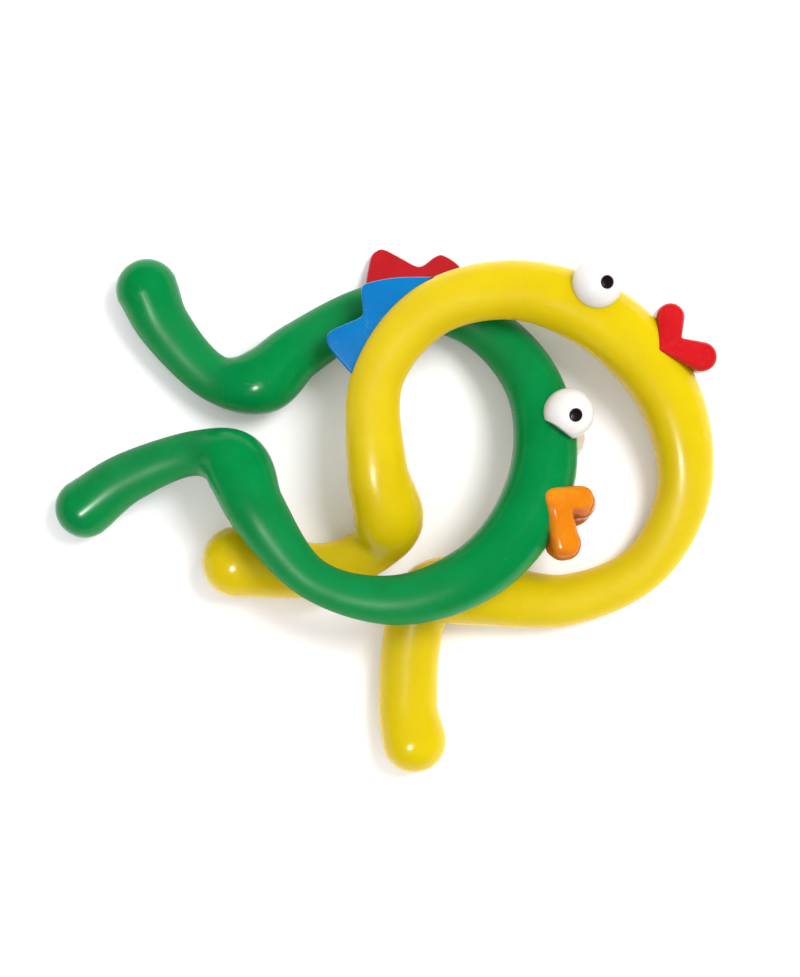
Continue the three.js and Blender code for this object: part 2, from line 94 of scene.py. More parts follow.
GREEN = {
    "name": "green",
    "lean": (24, 77.7),
    "centre": (-0.6, 10.0),
    "half_long": 38.4,
    "half_wide": 41.0,
    "axis": -45.3,
    "turn": (179.9, -113.2),
    "storey": (0.06, 0.09, 0.10, 0.37, 0.71, 1.11, 1.34, 1.31, 1.10),
    "swell": (0.8, -0.4, -0.4, 0.8, 1.9, 1.3, -0.2, -1.4, 0.8),
    "first_leg": [(-68.1, 43.9, 0.02, 1.4), (-63.6, 34.3, 0.06, 0.3), (-49.4, 19.7, 0.10, -0.5),
                  (-37.2, 18.9, 0.10, 2.0)],
    "second_leg": [(-85.0, -15.4, 0.01, 1.1), (-73.5, -7.4, 0.30, -0.1), (-53.5, -0.6, 0.70, -0.8),
                   (-43.7, -3.5, 0.78, 2.0)],
    "eye_at": (39.2, 6.6),
    "eye_out": 5.4,
    "eye_cut": (-0.61, 0.74, -0.27, 5.1),
    "gaze": (0.24, -0.09, 0.97),
    "lips_at": (36.3, -13.8),
    "lips": [(4.1, 0.2, 2.7, 9.2), (10.0, -0.6, 0.6, 6.8), (12.1, 4.1, 3.6, 6.8),
             (11.9, -8.4, 4.0, 4.4)],
    "crest_at": (2.7, 44.1),
    "crest": [(-11.8, -3.5), (-10.3, 7.0), (-8.5, 9.9), (-6.3, 10.2), (-2.1, 7.9), (2.0, 5.5),
              (4.2, 5.6), (7.5, 8.4), (10.0, 8.8), (14.6, 5.1), (19.5, -3.5)],
}

# %% [markdown]
# ## The path of a tube
#
# A smooth curve runs through the stations and carries the tube's radius with it. It could
# be a Bezier curve drawn by hand, but a centripetal Catmull-Rom curve passes through every
# station without overshooting at the tight knees. Each section also needs three
# directions: ahead along the tube, up from the creature's own plane, and out, away from
# the middle of the loop.

# %% Stations and the curve through them
def stations_of(figure):
    steps = len(figure["storey"]) - 1
    angle = np.radians(np.linspace(*figure["turn"], steps + 1))
    axis = math.radians(figure["axis"])
    along = figure["half_long"] * np.cos(angle)
    across = figure["half_wide"] * np.sin(angle)
    x = along * math.cos(axis) - across * math.sin(axis)
    y = along * math.sin(axis) + across * math.cos(axis)
    loop = np.column_stack([x, y, figure["storey"], figure["swell"]])
    rows = np.vstack([figure["first_leg"], loop, figure["second_leg"][::-1]])
    radius = TUBE_RADIUS + rows[:, 3]
    place = rows[:, :2] + figure["centre"]
    return np.column_stack([place, radius + rows[:, 2] * STOREY, radius])


def curve_at(stations, t):
    """Places and radii at the parameters t, one whole number per station."""
    ends = [2 * stations[0] - stations[1], 2 * stations[-1] - stations[-2]]
    padded = np.vstack([ends[0], stations, ends[1]])
    i = np.minimum(np.floor(t).astype(int), len(stations) - 2)
    w = (t - i)[:, None]
    p0, p1, p2, p3 = (padded[i + k] for k in range(4))

    def knot(a, b):
        return np.sqrt(np.linalg.norm(a[:, :3] - b[:, :3], axis=1))[:, None]

    d0, d1, d2 = knot(p0, p1), knot(p1, p2), knot(p2, p3)
    middle = (p2 - p1) / d1
    m1 = ((p1 - p0) / d0 - (p2 - p0) / (d0 + d1) + middle) * d1
    m2 = ((p3 - p2) / d2 - (p3 - p1) / (d1 + d2) + middle) * d1
    cubic = 2 * p1 - 2 * p2 + m1 + m2
    square = 3 * p2 - 3 * p1 - 2 * m1 - m2
    return p1 + w * (m1 + w * (square + w * cubic))


def unit(vectors):
    return vectors / np.linalg.norm(vectors, axis=-1, keepdims=True)


# %% Sections along a tube
RING_STEP = 0.75  # mm between sections of the finished skin
FINE_STEPS = 200  # samples between two stations when the path is measured
AHEAD_STEP = 0.02  # how far apart two places are when a direction is taken


def sections_of(figure):
    """Closely spaced sections: point, radius and the three directions, in frame millimetres."""
    stations = stations_of(figure)
    last = len(stations) - 1
    fine = np.linspace(0, last, last * FINE_STEPS + 1)
    run = np.linalg.norm(np.diff(curve_at(stations, fine)[:, :3], axis=0), axis=1)
    run = np.concatenate([[0], np.cumsum(run)])
    count = int(run[-1] / RING_STEP) + 1
    t = np.interp(np.linspace(0, run[-1], count), run, fine)
    here = curve_at(stations, t)
    after = curve_at(stations, np.minimum(t + AHEAD_STEP, last))
    before = curve_at(stations, np.maximum(t - AHEAD_STEP, 0))
    ahead = unit((after - before)[:, :3])
    tilt, towards = np.radians(figure["lean"])
    normal = np.array([
        math.sin(tilt) * math.cos(towards),
        math.sin(tilt) * math.sin(towards),
        math.cos(tilt),
    ])
    up = unit(normal - ahead * (ahead @ normal)[:, None])
    return {
        "point": here[:, :3] + TO_FRAME,
        "radius": here[:, 3],
        "ahead": ahead,
        "up": up,
        "out": np.cross(up, ahead),
        "run": np.linspace(0, run[-1], count),
        "normal": normal,
    }


# %% [markdown]
# ## Tight knees
#
# On the inside of a knee the tube is thicker than the bend is round, so plain sections
# would pass through each other. The mould there has a crisp crease. Each section is told
# how far it may reach into its bend: never past the centre of the bend, and never past
# the plane of a section near it.

# %% How far each section may reach into its bend
BEND_LIMIT = 0.95  # share of the way to the middle of the bend
LOOK_AROUND = 44  # sections compared on either side
SECTION_ROOM = 0.012  # mm left between one section and the next at the crease
KNEE_PASSES = 60
KNEE_EASE = 0.97  # how much a folded section draws back in one pass


def open_knees(s):
    turned = np.gradient(s["ahead"], s["run"], axis=0)
    bend = np.linalg.norm(turned, axis=1)
    s["inward"] = turned / np.maximum(bend, 1e-9)[:, None]
    most = np.minimum(3 * s["radius"], BEND_LIMIT / np.maximum(bend, 1e-9))
    count = len(most)
    for _ in range(KNEE_PASSES):
        reach = np.minimum(most, s["radius"])
        inner = s["point"] + s["inward"] * reach[:, None]
        folded = np.zeros(count, bool)
        for gap in range(1, LOOK_AROUND):
            a, b = slice(0, count - gap), slice(gap, count)
            room = SECTION_ROOM * gap
            folded[a] |= ((inner[a] - s["point"][b]) * s["ahead"][b]).sum(1) > -room
            folded[b] |= ((s["point"][a] - inner[b]) * s["ahead"][a]).sum(1) > -room
        if not folded.any():
            break
        most = np.where(folded, reach * KNEE_EASE, most)
    s["most"] = most
    return s


tubes = {f["name"]: open_knees(sections_of(f)) for f in (YELLOW, GREEN)}
for name, s in tubes.items():
    tight = (s["most"] < s["radius"]).sum()
    print(name, "tube:", round(s["run"][-1], 1), "mm long,", len(s["run"]), "sections,",
          tight, "of them in a tight knee")

# %% [markdown]
# ## Small helpers
#
# A mesh is made from plain points and faces, its faces are turned outward, and it is
# given one material. Fitted pieces settle onto the tube: whatever would lie inside the
# tube is moved out to just under its skin, so the line where two pieces meet is crisp.

# %% Helpers that make and finish meshes
BATCH = 2000  # points compared with a whole tube at a time


def mesh_object(name, points, faces, mat):
    mesh = bpy.data.meshes.new(name)
    mesh.from_pydata([tuple(p) for p in np.asarray(points) * MM], [], faces)
    obj = bpy.data.objects.new(name, mesh)
    bpy.context.scene.collection.objects.link(obj)
    mesh.materials.append(mat)
    return finished(obj)


def finished(obj):
    """Closes doubled points, turns the faces outward and shades the piece smooth."""
    shape = bmesh.new()
    shape.from_mesh(obj.data)
    bmesh.ops.remove_doubles(shape, verts=shape.verts, dist=1e-6)
    bmesh.ops.recalc_face_normals(shape, faces=shape.faces)
    shape.to_mesh(obj.data)
    shape.free()
    obj.data.polygons.foreach_set("use_smooth", [True] * len(obj.data.polygons))
    return obj


def applied(obj):
    """Bakes the modifiers of a piece into its mesh."""
    graph = bpy.context.evaluated_depsgraph_get()
    graph.update()
    baked = bpy.data.meshes.new_from_object(obj.evaluated_get(graph))
    baked.name = obj.name
    obj.modifiers.clear()
    obj.data = baked
    return obj


def closest(points, tube):
    """Which section of a tube each point belongs to."""
    found = []
    for start in range(0, len(points), BATCH):
        some = points[start:start + BATCH]
        away = np.linalg.norm(some[:, None] - tube["point"][None], axis=2)
        found.append((away - tube["radius"]).argmin(axis=1))
    return np.concatenate(found)


def seated(points, tube):
    """Moves points that lie inside a tube out to just under its skin."""
    k = closest(points, tube)
    axis = tube["point"][k]
    axis = axis + tube["ahead"][k] * ((points - axis) * tube["ahead"][k]).sum(1)[:, None]
    arm = points - axis
    length = np.linalg.norm(arm, axis=1)
    wanted = tube["radius"][k] - SEAT
    grown = axis + arm * (wanted / np.maximum(length, 1e-6))[:, None]
    return np.where((length < wanted)[:, None], grown, points)


def nearest(figure, place):
    """The section closest in plan to a place given from the loop's centre."""
    s = tubes[figure["name"]]
    at = np.array(figure["centre"]) + place + TO_FRAME[:2]
    k = np.linalg.norm(s["point"][:, :2] - at, axis=1).argmin()
    return {key: value[k] for key, value in s.items() if key != "normal"} | {"normal": s["normal"]}


def vertices_of(obj):
    """The places of a mesh's vertices, in frame millimetres."""
    return np.array([v.co for v in obj.data.vertices]) / MM


def keep(obj, key, values):
    """Stores one number per vertex, from 0 to 1, for the materials to read."""
    layer = obj.data.attributes.new(key, "FLOAT", "POINT")
    layer.data.foreach_set("value", np.clip(values, 0, 1))


def show(obj):
    size = np.array(obj.dimensions) / MM
    print(obj.name, len(obj.data.polygons), "faces,", [round(float(v), 1) for v in size], "mm")


# %% [markdown]
# ## Node trees in few words
#
# Both the finishes and the tubes are node trees. One small class makes any kind of node and
# fills its sockets. Finishes are patterns added and multiplied together, so a second class
# lets a socket be used like a number.

# %% Any node in one call
class Nodes:
    """A node tree; a socket takes either a link or a plain value."""

    def __init__(self, tree):
        self.tree = tree

    def node(self, kind, settings=None, inputs=None):
        made = self.tree.nodes.new(kind)
        for key, value in (settings or {}).items():
            setattr(made, key, value)
        for key, value in (inputs or {}).items():
            self.plug(made.inputs[key], value)
        return made

    def plug(self, socket, value):
        if isinstance(value, bpy.types.NodeSocket):
            self.tree.links.new(value, socket)
        else:
            socket.default_value = value

    def math(self, operation, *values):
        made = self.node("ShaderNodeMath", {"operation": operation})
        for socket, value in zip(made.inputs, values):
            self.plug(socket, value)
        return made.outputs[0]


# %% A socket that can be used like a number
class Value:
    def __init__(self, paint, socket):
        self.paint = paint
        self.socket = socket

    def __add__(self, other):
        return self.paint.math("ADD", self, other)

    __radd__ = __add__

    def __mul__(self, other):
        return self.paint.math("MULTIPLY", self, other)

    def __sub__(self, other):
        return self.paint.math("SUBTRACT", self, other)

    def __abs__(self):
        return self.paint.math("ABSOLUTE", self)

    def ramp(self, low, high):
        """0 at low and 1 at high, with a soft start and end."""
        node = self.paint.node("ShaderNodeMapRange", {"interpolation_type": "SMOOTHSTEP"},
                               {"Value": self, "From Min": low, "From Max": high})
        return Value(self.paint, node.outputs["Result"])


class Paint(Nodes):
    """One material and the nodes that drive it."""

    def __init__(self, name):
        self.material = bpy.data.materials.new(name)
        self.material.use_nodes = True
        super().__init__(self.material.node_tree)
        self.shader = self.tree.nodes["Principled BSDF"]
        self.place = self.node("ShaderNodeTexCoord").outputs["Object"]

    def plug(self, socket, value):
        super().plug(socket, value.socket if isinstance(value, Value) else value)

    def math(self, operation, *values):
        return Value(self, super().math(operation, *values))

    def noise(self, size, detail=2.0, rough=0.5, seed=0.0, stretch=None):
        """Cloudy pattern around 0.5; size is about one cloud, in millimetres."""
        place = self.place
        if stretch:
            place = self.node("ShaderNodeMapping", None,
                              {"Vector": place, "Scale": stretch[:3], "Rotation": stretch[3:]})
            place = place.outputs["Vector"]
        made = self.node("ShaderNodeTexNoise", {"noise_dimensions": "4D"},
                         {"Vector": place, "W": seed, "Scale": 1 / (size * MM),
                          "Detail": detail, "Roughness": rough})
        return Value(self, made.outputs["Fac"])

    def blend(self, amount, a, b):
        """Colour a where amount is 0, colour b where it is 1."""
        made = self.node("ShaderNodeMix", {"data_type": "RGBA", "clamp_factor": True})
        self.plug(made.inputs["Factor"], amount)
        self.plug(made.inputs[6], a)
        self.plug(made.inputs[7], b)
        return made.outputs[2]

    def scratches(self, size, width, seed, stretch):
        """Fine hairlines: where a drawn-out cloud pattern crosses its middle value."""
        cloud = self.noise(size, 1.5, 0.5, seed, stretch)
        line = abs(cloud - 0.5).ramp(width, 0.0)
        patchy = self.noise(size * 1.7, 1.0, 0.5, seed + 9).ramp(0.52, 0.62)
        return line * patchy

    def specks(self, size, seed):
        """Sparse small round marks."""
        made = self.node("ShaderNodeTexVoronoi", {"voronoi_dimensions": "4D"},
                         {"Vector": self.place, "W": seed, "Scale": 1 / (size * MM)})
        near = Value(self, made.outputs["Distance"])
        return near.ramp(0.07, 0.03)

    def attribute(self, name):
        made = self.node("ShaderNodeAttribute", {"attribute_name": name})
        return Value(self, made.outputs["Fac"])


def colour(red, green, blue):
    """A screen colour in 0-255 parts as linear light."""
    parts = [c / 255 for c in (red, green, blue)]
    return (*[c / 12.92 if c <= 0.04045 else ((c + 0.055) / 1.055) ** 2.4 for c in parts], 1.0)


# %% [markdown]
# ## Moulded plastic
#
# The tubes, lips and crests are glossy injection-moulded plastic. Real plastic is never
# one flat colour: pigment swirls a little, handling leaves hairline scratches and dull
# patches, and the surface has a faint orange-peel waviness that breaks up highlights. A
# little light also travels under the skin, which warms the yellow and rounds the white.
#
# Some pieces carry numbers on their points for the finish to read. "seam" is the height
# above a tube's seam; towards it the flanks are painted lighter and warmer, a painted bounce
# light that flattens the shading of the tube's sides. "polish" is where a tube is rubbed
# smooth. A third number is high on the walls of the lips and round the backs of the eyeballs:
# there the lips get painted shade, and the eyeballs go creamy, partly from painted shade and
# warm reflected light, partly from yellowed plastic.

# %% Plastic finish
# Painted bounce light: the flanks near the seam are painted lighter and warmer to flatten the
# shading.
FLANK_LIGHT = (5.5 * MM, 0.8 * MM)  # height over the seam where the flank's colour starts and is full
SEAM_LINE = (0.55 * MM, 0.12 * MM)  # the same for the pale line on the seam itself


def plastic(name, base, deep, pale, rough=0.33, under=0.15, glow=(1.0, 0.4, 0.15), seed=0.0,
            flank_light=None, shade_and_age_tint=None, line=0.0, wear=1.0, gleam=0.3):
    p = Paint(name)
    swirl = p.noise(11, 3, 0.55, seed, (1, 1, 1.6, 0, 0, 0.6))
    grain = p.noise(1.3, 2, 0.6, seed + 3)
    tone = p.blend(swirl.ramp(0.30, 0.72), deep, base)
    # Painted bounce light: towards the seam the colour goes to the lighter, warmer flank colour.
    if flank_light:
        side = abs(p.attribute("seam")).ramp(*FLANK_LIGHT)
        tone = p.blend(side * 0.75, tone, flank_light)
    # Painted shade: the walls and undersides of the lips go to a darker tint. On the eyeballs the
    # tint is cream: painted shade and warm reflected light, along with yellowed plastic.
    if shade_and_age_tint:
        patchy = p.noise(4.5, 3, 0.6, seed + 9).ramp(0.25, 0.65) * 0.5 + 0.5
        tone = p.blend(p.attribute("shade_and_age") * patchy, tone, shade_and_age_tint)
    tone = p.blend(grain.ramp(0.60, 0.85) * 0.12, tone, pale)
    hair = p.scratches(7, 0.006, seed + 5, (1, 5, 1, 0.2, 0.1, 0.7))
    hair = hair + p.scratches(5, 0.005, seed + 6, (4, 1, 1, 0.4, 0.0, -0.5))
    marks = p.specks(5, seed + 2)
    tone = p.blend((hair * 0.16 + marks * 0.22) * wear, tone, pale)
    dull = p.noise(16, 2, 0.5, seed + 7).ramp(0.45, 0.75)
    gloss = rough + dull * 0.06 + grain * 0.02 + hair * (0.20 * wear) + marks * 0.1
    peel = p.noise(1.9, 2, 0.5, seed + 8) * 0.45 + p.noise(0.5, 1, 0.5, seed + 4) * 0.08
    height = peel - hair * (0.5 * wear)
    if flank_light:
        edge = abs(p.attribute("seam")).ramp(*SEAM_LINE)
        tone = p.blend(edge * p.noise(9, 2, 0.5, seed + 1).ramp(0.35, 0.65) * line, tone, pale)
        gloss = gloss + edge * 0.12 - p.attribute("polish") * 0.24
    bump = p.node("ShaderNodeBump", None,
                  {"Strength": 0.35, "Distance": 0.05 * MM, "Height": height})
    p.plug(p.shader.inputs["Base Color"], tone)
    p.plug(p.shader.inputs["Roughness"], gloss)
    p.plug(p.shader.inputs["Normal"], bump.outputs["Normal"])
    p.shader.inputs["Subsurface Weight"].default_value = under
    p.shader.inputs["Subsurface Radius"].default_value = glow
    p.shader.inputs["Subsurface Scale"].default_value = 1.2 * MM
    p.shader.inputs["IOR"].default_value = 1.5
    p.shader.inputs["Specular IOR Level"].default_value = gleam
    return p.material


# The flank colours, lighter and warmer than the base colours, are painted bounce light on the
# tubes' sides.
yellow_plastic = plastic("yellow plastic", colour(196, 174, 3), colour(192, 168, 3),
                         colour(206, 190, 60), 0.44, 0.60, (1.0, 0.50, 0.05), 1.3,
                         flank_light=colour(228, 188, 8), line=0.03, gleam=0.2)
green_plastic = plastic("green plastic", colour(0, 118, 57), colour(0, 110, 52),
                        colour(40, 144, 84), 0.42, 0.06, (0.3, 1.0, 0.4), 17.1,
                        flank_light=colour(6, 126, 56), line=0.35, gleam=0.12)
# The lips' darker tints below are painted shade on their walls.
red_plastic = plastic("red plastic", colour(182, 13, 20), colour(173, 10, 17),
                      colour(204, 60, 58), 0.20, 0.15, (1.0, 0.2, 0.1), 31.7,
                      shade_and_age_tint=colour(132, 4, 12))
crest_red = plastic("red crest plastic", colour(172, 20, 27), colour(160, 15, 22),
                    colour(196, 66, 64), 0.28, 0.15, (1.0, 0.2, 0.1), 37.9)
blue_plastic = plastic("blue plastic", colour(0, 105, 168), colour(0, 99, 160),
                       colour(50, 138, 192), 0.17, 0.08, (0.2, 0.5, 1.0), 43.3,
                       gleam=0.35)
orange_plastic = plastic("orange plastic", colour(198, 124, 12), colour(192, 106, 8),
                         colour(216, 148, 50), 0.16, 0.25, (1.0, 0.45, 0.1), 57.5,
                         shade_and_age_tint=colour(158, 44, 12))
print("plastic finishes ready")

# %% [markdown]
# ## Eyes and pupils
#
# The eyeballs are white plastic, a little translucent. Round the back they go creamy in
# patches: partly yellowed plastic, partly painted shade and painted warm reflected light.
# The pupils are dipped in black enamel.

# %% Eye finishes
# The cream tint round the back is partly painted shade and warm reflected light, partly yellowed
# plastic.
eye_white = plastic("eye white plastic", colour(210, 208, 207), colour(205, 202, 199),
                    colour(214, 212, 211), 0.14, 0.20, (1.0, 0.8, 0.6), 71.3,
                    shade_and_age_tint=colour(196, 172, 134), wear=0.4, gleam=0.45)
pupil_black = plastic("pupil black paint", colour(24, 11, 12), colour(14, 6, 8),
                      colour(58, 48, 50), 0.34, 0.0, (1, 1, 1), 83.9)

# %% [markdown]
# ## The tubes
#
# A tube is a rule, so a node tree makes it: sweep a ring of points along the path, then
# put every point where the rule says. It could be a curve with a round bevel, but that
# can't hold the creases in the knees or the fine raised line left where the two halves
# of the mould met. The path's points carry what the rule needs.

# %% The path as a chain of points
CAP_RINGS = 22


def chain_of(name, s):
    """The tube's path with the sections of its rounded ends added."""
    angle = np.linspace(0, math.pi / 2, CAP_RINGS, endpoint=False)
    first = np.zeros(CAP_RINGS, int)
    last = np.full(CAP_RINGS, len(s["run"]) - 1)
    pick = np.concatenate([first, np.arange(len(s["run"])), last])
    plain = np.zeros(len(s["run"]))
    shift = np.concatenate([-np.cos(angle), plain, np.cos(angle)[::-1]])
    part = np.concatenate([np.sin(angle), plain + 1, np.sin(angle)[::-1]])
    radius = s["radius"][pick]
    centre = s["point"][pick] + s["ahead"][pick] * (shift * radius)[:, None]
    mesh = bpy.data.meshes.new(name)
    edges = [(k, k + 1) for k in range(len(pick) - 1)]
    mesh.from_pydata([tuple(p) for p in centre * MM], edges, [])
    for key, values in (("centre", centre * MM), ("out", s["out"][pick]), ("up", s["up"][pick]),
                        ("inward", s["inward"][pick])):
        layer = mesh.attributes.new(key, "FLOAT_VECTOR", "POINT")
        layer.data.foreach_set("vector", values.astype(np.float32).ravel())
    for key, values in (("radius_m", radius * MM), ("most_m", s["most"][pick] * MM),
                        ("part", part)):
        layer = mesh.attributes.new(key, "FLOAT", "POINT")
        layer.data.foreach_set("value", values.astype(np.float32))
    obj = bpy.data.objects.new(name, mesh)
    bpy.context.scene.collection.objects.link(obj)
    return obj


# %% The node tree that sweeps a tube
TUBE_SIDES = 112
SEAM_GATHER = 0.38  # how strongly the points of a ring gather near the seam


class Sweep(Nodes):
    """A geometry tree; numbers and vectors are plain sockets."""

    def socket(self, name, kind, in_out="INPUT"):
        self.tree.interface.new_socket(name, in_out=in_out, socket_type="NodeSocket" + kind)

    def vector(self, operation, *values, out="Vector"):
        made = self.node("ShaderNodeVectorMath", {"operation": operation})
        for socket, value in zip(made.inputs, values):
            self.plug(socket, value)
        return made.outputs[out]

    def scaled(self, vector, amount):
        made = self.node("ShaderNodeVectorMath", {"operation": "SCALE"})
        self.plug(made.inputs[0], vector)
        self.plug(made.inputs["Scale"], amount)
        return made.outputs[0]

    def named(self, name, kind="FLOAT"):
        made = self.node("GeometryNodeInputNamedAttribute", {"data_type": kind}, {"Name": name})
        return made.outputs["Attribute"]


def tube_tree():
    g = Sweep(bpy.data.node_groups.new("swept tube", "GeometryNodeTree"))
    g.socket("Path", "Geometry")
    g.socket("Sides", "Int")
    for name in ("Seam height", "Seam width", "Ripple height", "Ripple size", "Seed"):
        g.socket(name, "Float")
    g.socket("Material", "Material")
    g.socket("Geometry", "Geometry", "OUTPUT")
    given = g.node("NodeGroupInput").outputs

    # A ring of points, gathered closer together near the seam on either side. Its own
    # radius doesn't matter, because every point is placed again below.
    ring = g.node("GeometryNodeCurvePrimitiveCircle", {"mode": "RADIUS"},
                  {"Resolution": given["Sides"], "Radius": 0.001})
    share = g.math("DIVIDE", g.node("GeometryNodeInputIndex").outputs[0], given["Sides"])
    even = g.math("MULTIPLY", share, 2 * math.pi)
    pull = g.math("MULTIPLY", g.math("SINE", g.math("MULTIPLY", even, 2.0)), SEAM_GATHER)
    angle = g.math("SUBTRACT", even, pull)
    ring = g.node("GeometryNodeStoreNamedAttribute", {"data_type": "FLOAT", "domain": "POINT"},
                  {"Geometry": ring.outputs[0], "Name": "around", "Value": angle})

    path = g.node("GeometryNodeMeshToCurve", None, {"Mesh": given["Path"]})
    swept = g.node("GeometryNodeCurveToMesh", None,
                   {"Curve": path.outputs[0], "Profile Curve": ring.outputs[0]})

    # The direction of each point from the middle of its section.
    around = g.named("around")
    side = g.vector("ADD", g.scaled(g.named("out", "FLOAT_VECTOR"), g.math("COSINE", around)),
                    g.scaled(g.named("up", "FLOAT_VECTOR"), g.math("SINE", around)))

    # Reach: the radius, but not past the crease of a knee.
    into = g.vector("DOT_PRODUCT", side, g.named("inward", "FLOAT_VECTOR"), out="Value")
    limit = g.math("DIVIDE", g.named("most_m"), g.math("MAXIMUM", into, 1e-4))
    reach = g.math("MINIMUM", g.named("radius_m"), limit)

    # The raised line of the mould's seam, and a faint ripple over the whole skin.
    height = g.math("MULTIPLY", g.named("radius_m"), g.math("SINE", around))
    ratio = g.math("DIVIDE", height, given["Seam width"])
    bell = g.math("EXPONENT", g.math("MULTIPLY", g.math("MULTIPLY", ratio, ratio), -1.0))
    ridge = g.math("MULTIPLY", bell, given["Seam height"])
    cloud = g.node("ShaderNodeTexNoise", {"noise_dimensions": "4D"},
                   {"Vector": g.node("GeometryNodeInputPosition").outputs[0],
                    "W": given["Seed"], "Detail": 1.0,
                    "Scale": g.math("DIVIDE", 1.0, given["Ripple size"])})
    wave = g.math("SUBTRACT", cloud.outputs["Fac"], 0.5)
    ripple = g.math("MULTIPLY", wave, given["Ripple height"])
    reach = g.math("ADD", reach, g.math("ADD", ridge, ripple))
    reach = g.math("MULTIPLY", reach, g.named("part"))

    place = g.vector("ADD", g.named("centre", "FLOAT_VECTOR"), g.scaled(side, reach))
    placed = g.node("GeometryNodeSetPosition", None,
                    {"Geometry": swept.outputs[0], "Position": place})
    marked = g.node("GeometryNodeStoreNamedAttribute", {"data_type": "FLOAT", "domain": "POINT"},
                    {"Geometry": placed.outputs[0], "Name": "seam",
                     "Value": g.math("MULTIPLY", height, g.named("part"))})
    closed = g.node("GeometryNodeMergeByDistance", None,
                    {"Geometry": marked.outputs[0], "Distance": 2e-6})
    smooth = g.node("GeometryNodeSetShadeSmooth", None, {"Geometry": closed.outputs[0]})
    real = g.node("GeometryNodeRealizeInstances", None, {"Geometry": smooth.outputs[0]})
    done = g.node("GeometryNodeSetMaterial", None,
                  {"Geometry": real.outputs[0], "Material": given["Material"]})
    g.plug(g.node("NodeGroupOutput").inputs[0], done.outputs[0])
    return g.tree


TUBE_TREE = tube_tree()
print("tube tree:", len(TUBE_TREE.nodes), "nodes")


# %% Sweep both tubes
RUBBED = (-0.4, 1.6)  # mm of swell where the skin starts to be rubbed smooth, and is fully so


def swept_tube(figure, mat, seed):
    name = figure["name"] + "_tube"
    tube = tubes[figure["name"]]
    obj = chain_of(name, tube)
    sweep = obj.modifiers.new("sweep", "NODES")
    sweep.node_group = TUBE_TREE
    wanted = {"Sides": TUBE_SIDES, "Seam height": 0.07 * MM, "Seam width": 0.22 * MM,
              "Ripple height": 0.16 * MM, "Ripple size": 12 * MM, "Seed": seed, "Material": mat}
    for item in TUBE_TREE.interface.items_tree:
        if item.name in wanted:
            sweep[item.identifier] = wanted[item.name]
    applied(obj)
    for key in ("centre", "out", "up", "inward", "radius_m", "most_m", "part", "around"):
        found = obj.data.attributes.get(key)
        if found:
            obj.data.attributes.remove(found)
    finished(obj)
    swell = tube["radius"][closest(vertices_of(obj), tube)] - TUBE_RADIUS
    rubbed = np.clip((swell - RUBBED[0]) / (RUBBED[1] - RUBBED[0]), 0, 1)
    keep(obj, "polish", rubbed ** 2 * (3 - 2 * rubbed))
    show(obj)
    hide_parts(figure["name"] + "_upper_shell", figure["name"] + "_lower_shell")
    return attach(obj, figure["name"] + "_figure")


swept_tube(YELLOW, yellow_plastic, 3.0)
swept_tube(GREEN, green_plastic, 8.0)

# %% [markdown]
# ## Eyeballs and pupils
#
# Both are turned shapes: a half outline spun about the line of sight. The ball has a
# small rounded socket in front, and the pupil is a domed stud that fills it. Where the
# ball meets the head it settles onto the tube.

# %% Turned shapes
def directions(axis):
    """Two directions square to an axis."""
    helper = np.array([1.0, 0, 0]) if abs(axis[0]) < 0.8 else np.array([0, 1.0, 0])
    first = unit(np.cross(axis, helper))
    return first, np.cross(axis, first)


def turned(outline, origin, axis, sides):
    """Spins (radius, height) pairs about an axis; the first and last are on the axis."""
    first, second = directions(axis)
    angle = np.linspace(0, 2 * math.pi, sides, endpoint=False)
    spoke = np.cos(angle)[:, None] * first + np.sin(angle)[:, None] * second
    rows = [origin + axis * z + spoke * r for r, z in outline[1:-1]]
    points = np.vstack([*rows, origin + axis * outline[0][1], origin + axis * outline[-1][1]])
    faces = []
    for k in range(len(rows) - 1):
        for j in range(sides):
            n = (j + 1) % sides
            faces.append((k * sides + j, k * sides + n, (k + 1) * sides + n, (k + 1) * sides + j))
    start, end = len(points) - 2, len(points) - 1
    top = (len(rows) - 1) * sides
    for j in range(sides):
        n = (j + 1) % sides
        faces.append((start, n, j))
        faces.append((end, top + j, top + n))
    return points, faces


# %% Eyes on both sides of each head
SOCKET = 1.78  # radius of the hole for the pupil
SOCKET_DEPTH = 1.6
SOCKET_EDGE = 0.18  # rounding of its rim
PUPIL_EDGE = 0.22
PUPIL_FOOT = 1.5  # how far the stud reaches in under the ball's skin
PUPIL_STAND = 0.42  # how far its dome stands over it
BALL_SIDES = 128
BALL_RINGS = 76
PUPIL_SIDES = 72
# The eyeball's cream, from none to full: partly painted shade and warm reflected light, partly
# yellowed plastic.
SHADE_AND_AGE_SPAN = (-0.35, 0.55)  # cosine, away from the gaze, where an eyeball starts and ends to go creamy


def ball_outline():
    rim = math.asin((SOCKET + SOCKET_EDGE) / EYE_RADIUS)
    top = EYE_RADIUS * math.cos(rim)
    floor = top - SOCKET_DEPTH
    angle = np.linspace(rim, math.pi, BALL_RINGS)
    outline = [(0, floor), (SOCKET / 2, floor), (SOCKET, floor), (SOCKET, top - SOCKET_DEPTH / 2)]
    for turn in np.radians([0, 25, 50, 75]):
        outline.append((SOCKET + SOCKET_EDGE * (1 - math.cos(turn)),
                        top - SOCKET_EDGE * (1 - math.sin(turn))))
    outline += [(EYE_RADIUS * math.sin(a), EYE_RADIUS * math.cos(a)) for a in angle[:-1]]
    return [*outline, (0, -EYE_RADIUS)]


